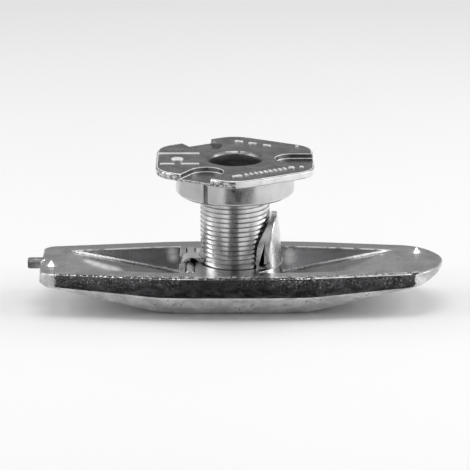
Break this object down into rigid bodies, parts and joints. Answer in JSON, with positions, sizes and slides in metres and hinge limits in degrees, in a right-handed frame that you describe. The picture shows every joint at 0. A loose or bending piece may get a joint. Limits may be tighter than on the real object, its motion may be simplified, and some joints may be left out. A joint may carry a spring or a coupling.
{
  "type": "toggle anchor",
  "caption": "Hollow-wall toggle anchor: a boat-shaped metal bar, a threaded barrel hinged in its hub, a curved stop tongue, and a flange nut with recesses in its rim.",
  "frame": {"origin": "on the barrel's axis, at the bar's back flat, which is the bottom centre of the whole part", "axes": "+X along the bar towards its rounded nose, +Z along the barrel from the bar to the flange nut's face"},
  "size_m": [0.0554, 0.0228, 0.02],
  "materials": {
    "bar_casting": "bright zinc die casting, lightly pitted on its outer faces",
    "pin_wire": "drawn wire, bright",
    "barrel_thread": "bright zinc with a fine outer thread",
    "nut_casting": "bright zinc die casting, smooth collar and satin face"
  },
  "bodies": {
    "bar": {"toggle_bar": "bar_casting", "hinge_pin": "pin_wire"},
    "barrel": {"threaded_barrel": "barrel_thread"},
    "nut": {"flange_nut": "nut_casting"}
  },
  "joints": [
    {"name": "barrel_tilt", "type": "hinge", "parent": "bar", "child": "barrel", "pos_m": [-0.00595, 0, 0.0054], "axis": [0, -1, 0], "range_deg": [0, 65]},
    {"name": "nut_turn", "type": "hinge", "parent": "barrel", "child": "nut", "pos_m": [0, 0, 0.0155], "axis": [0, 0, 1], "continuous": true}
  ]
}
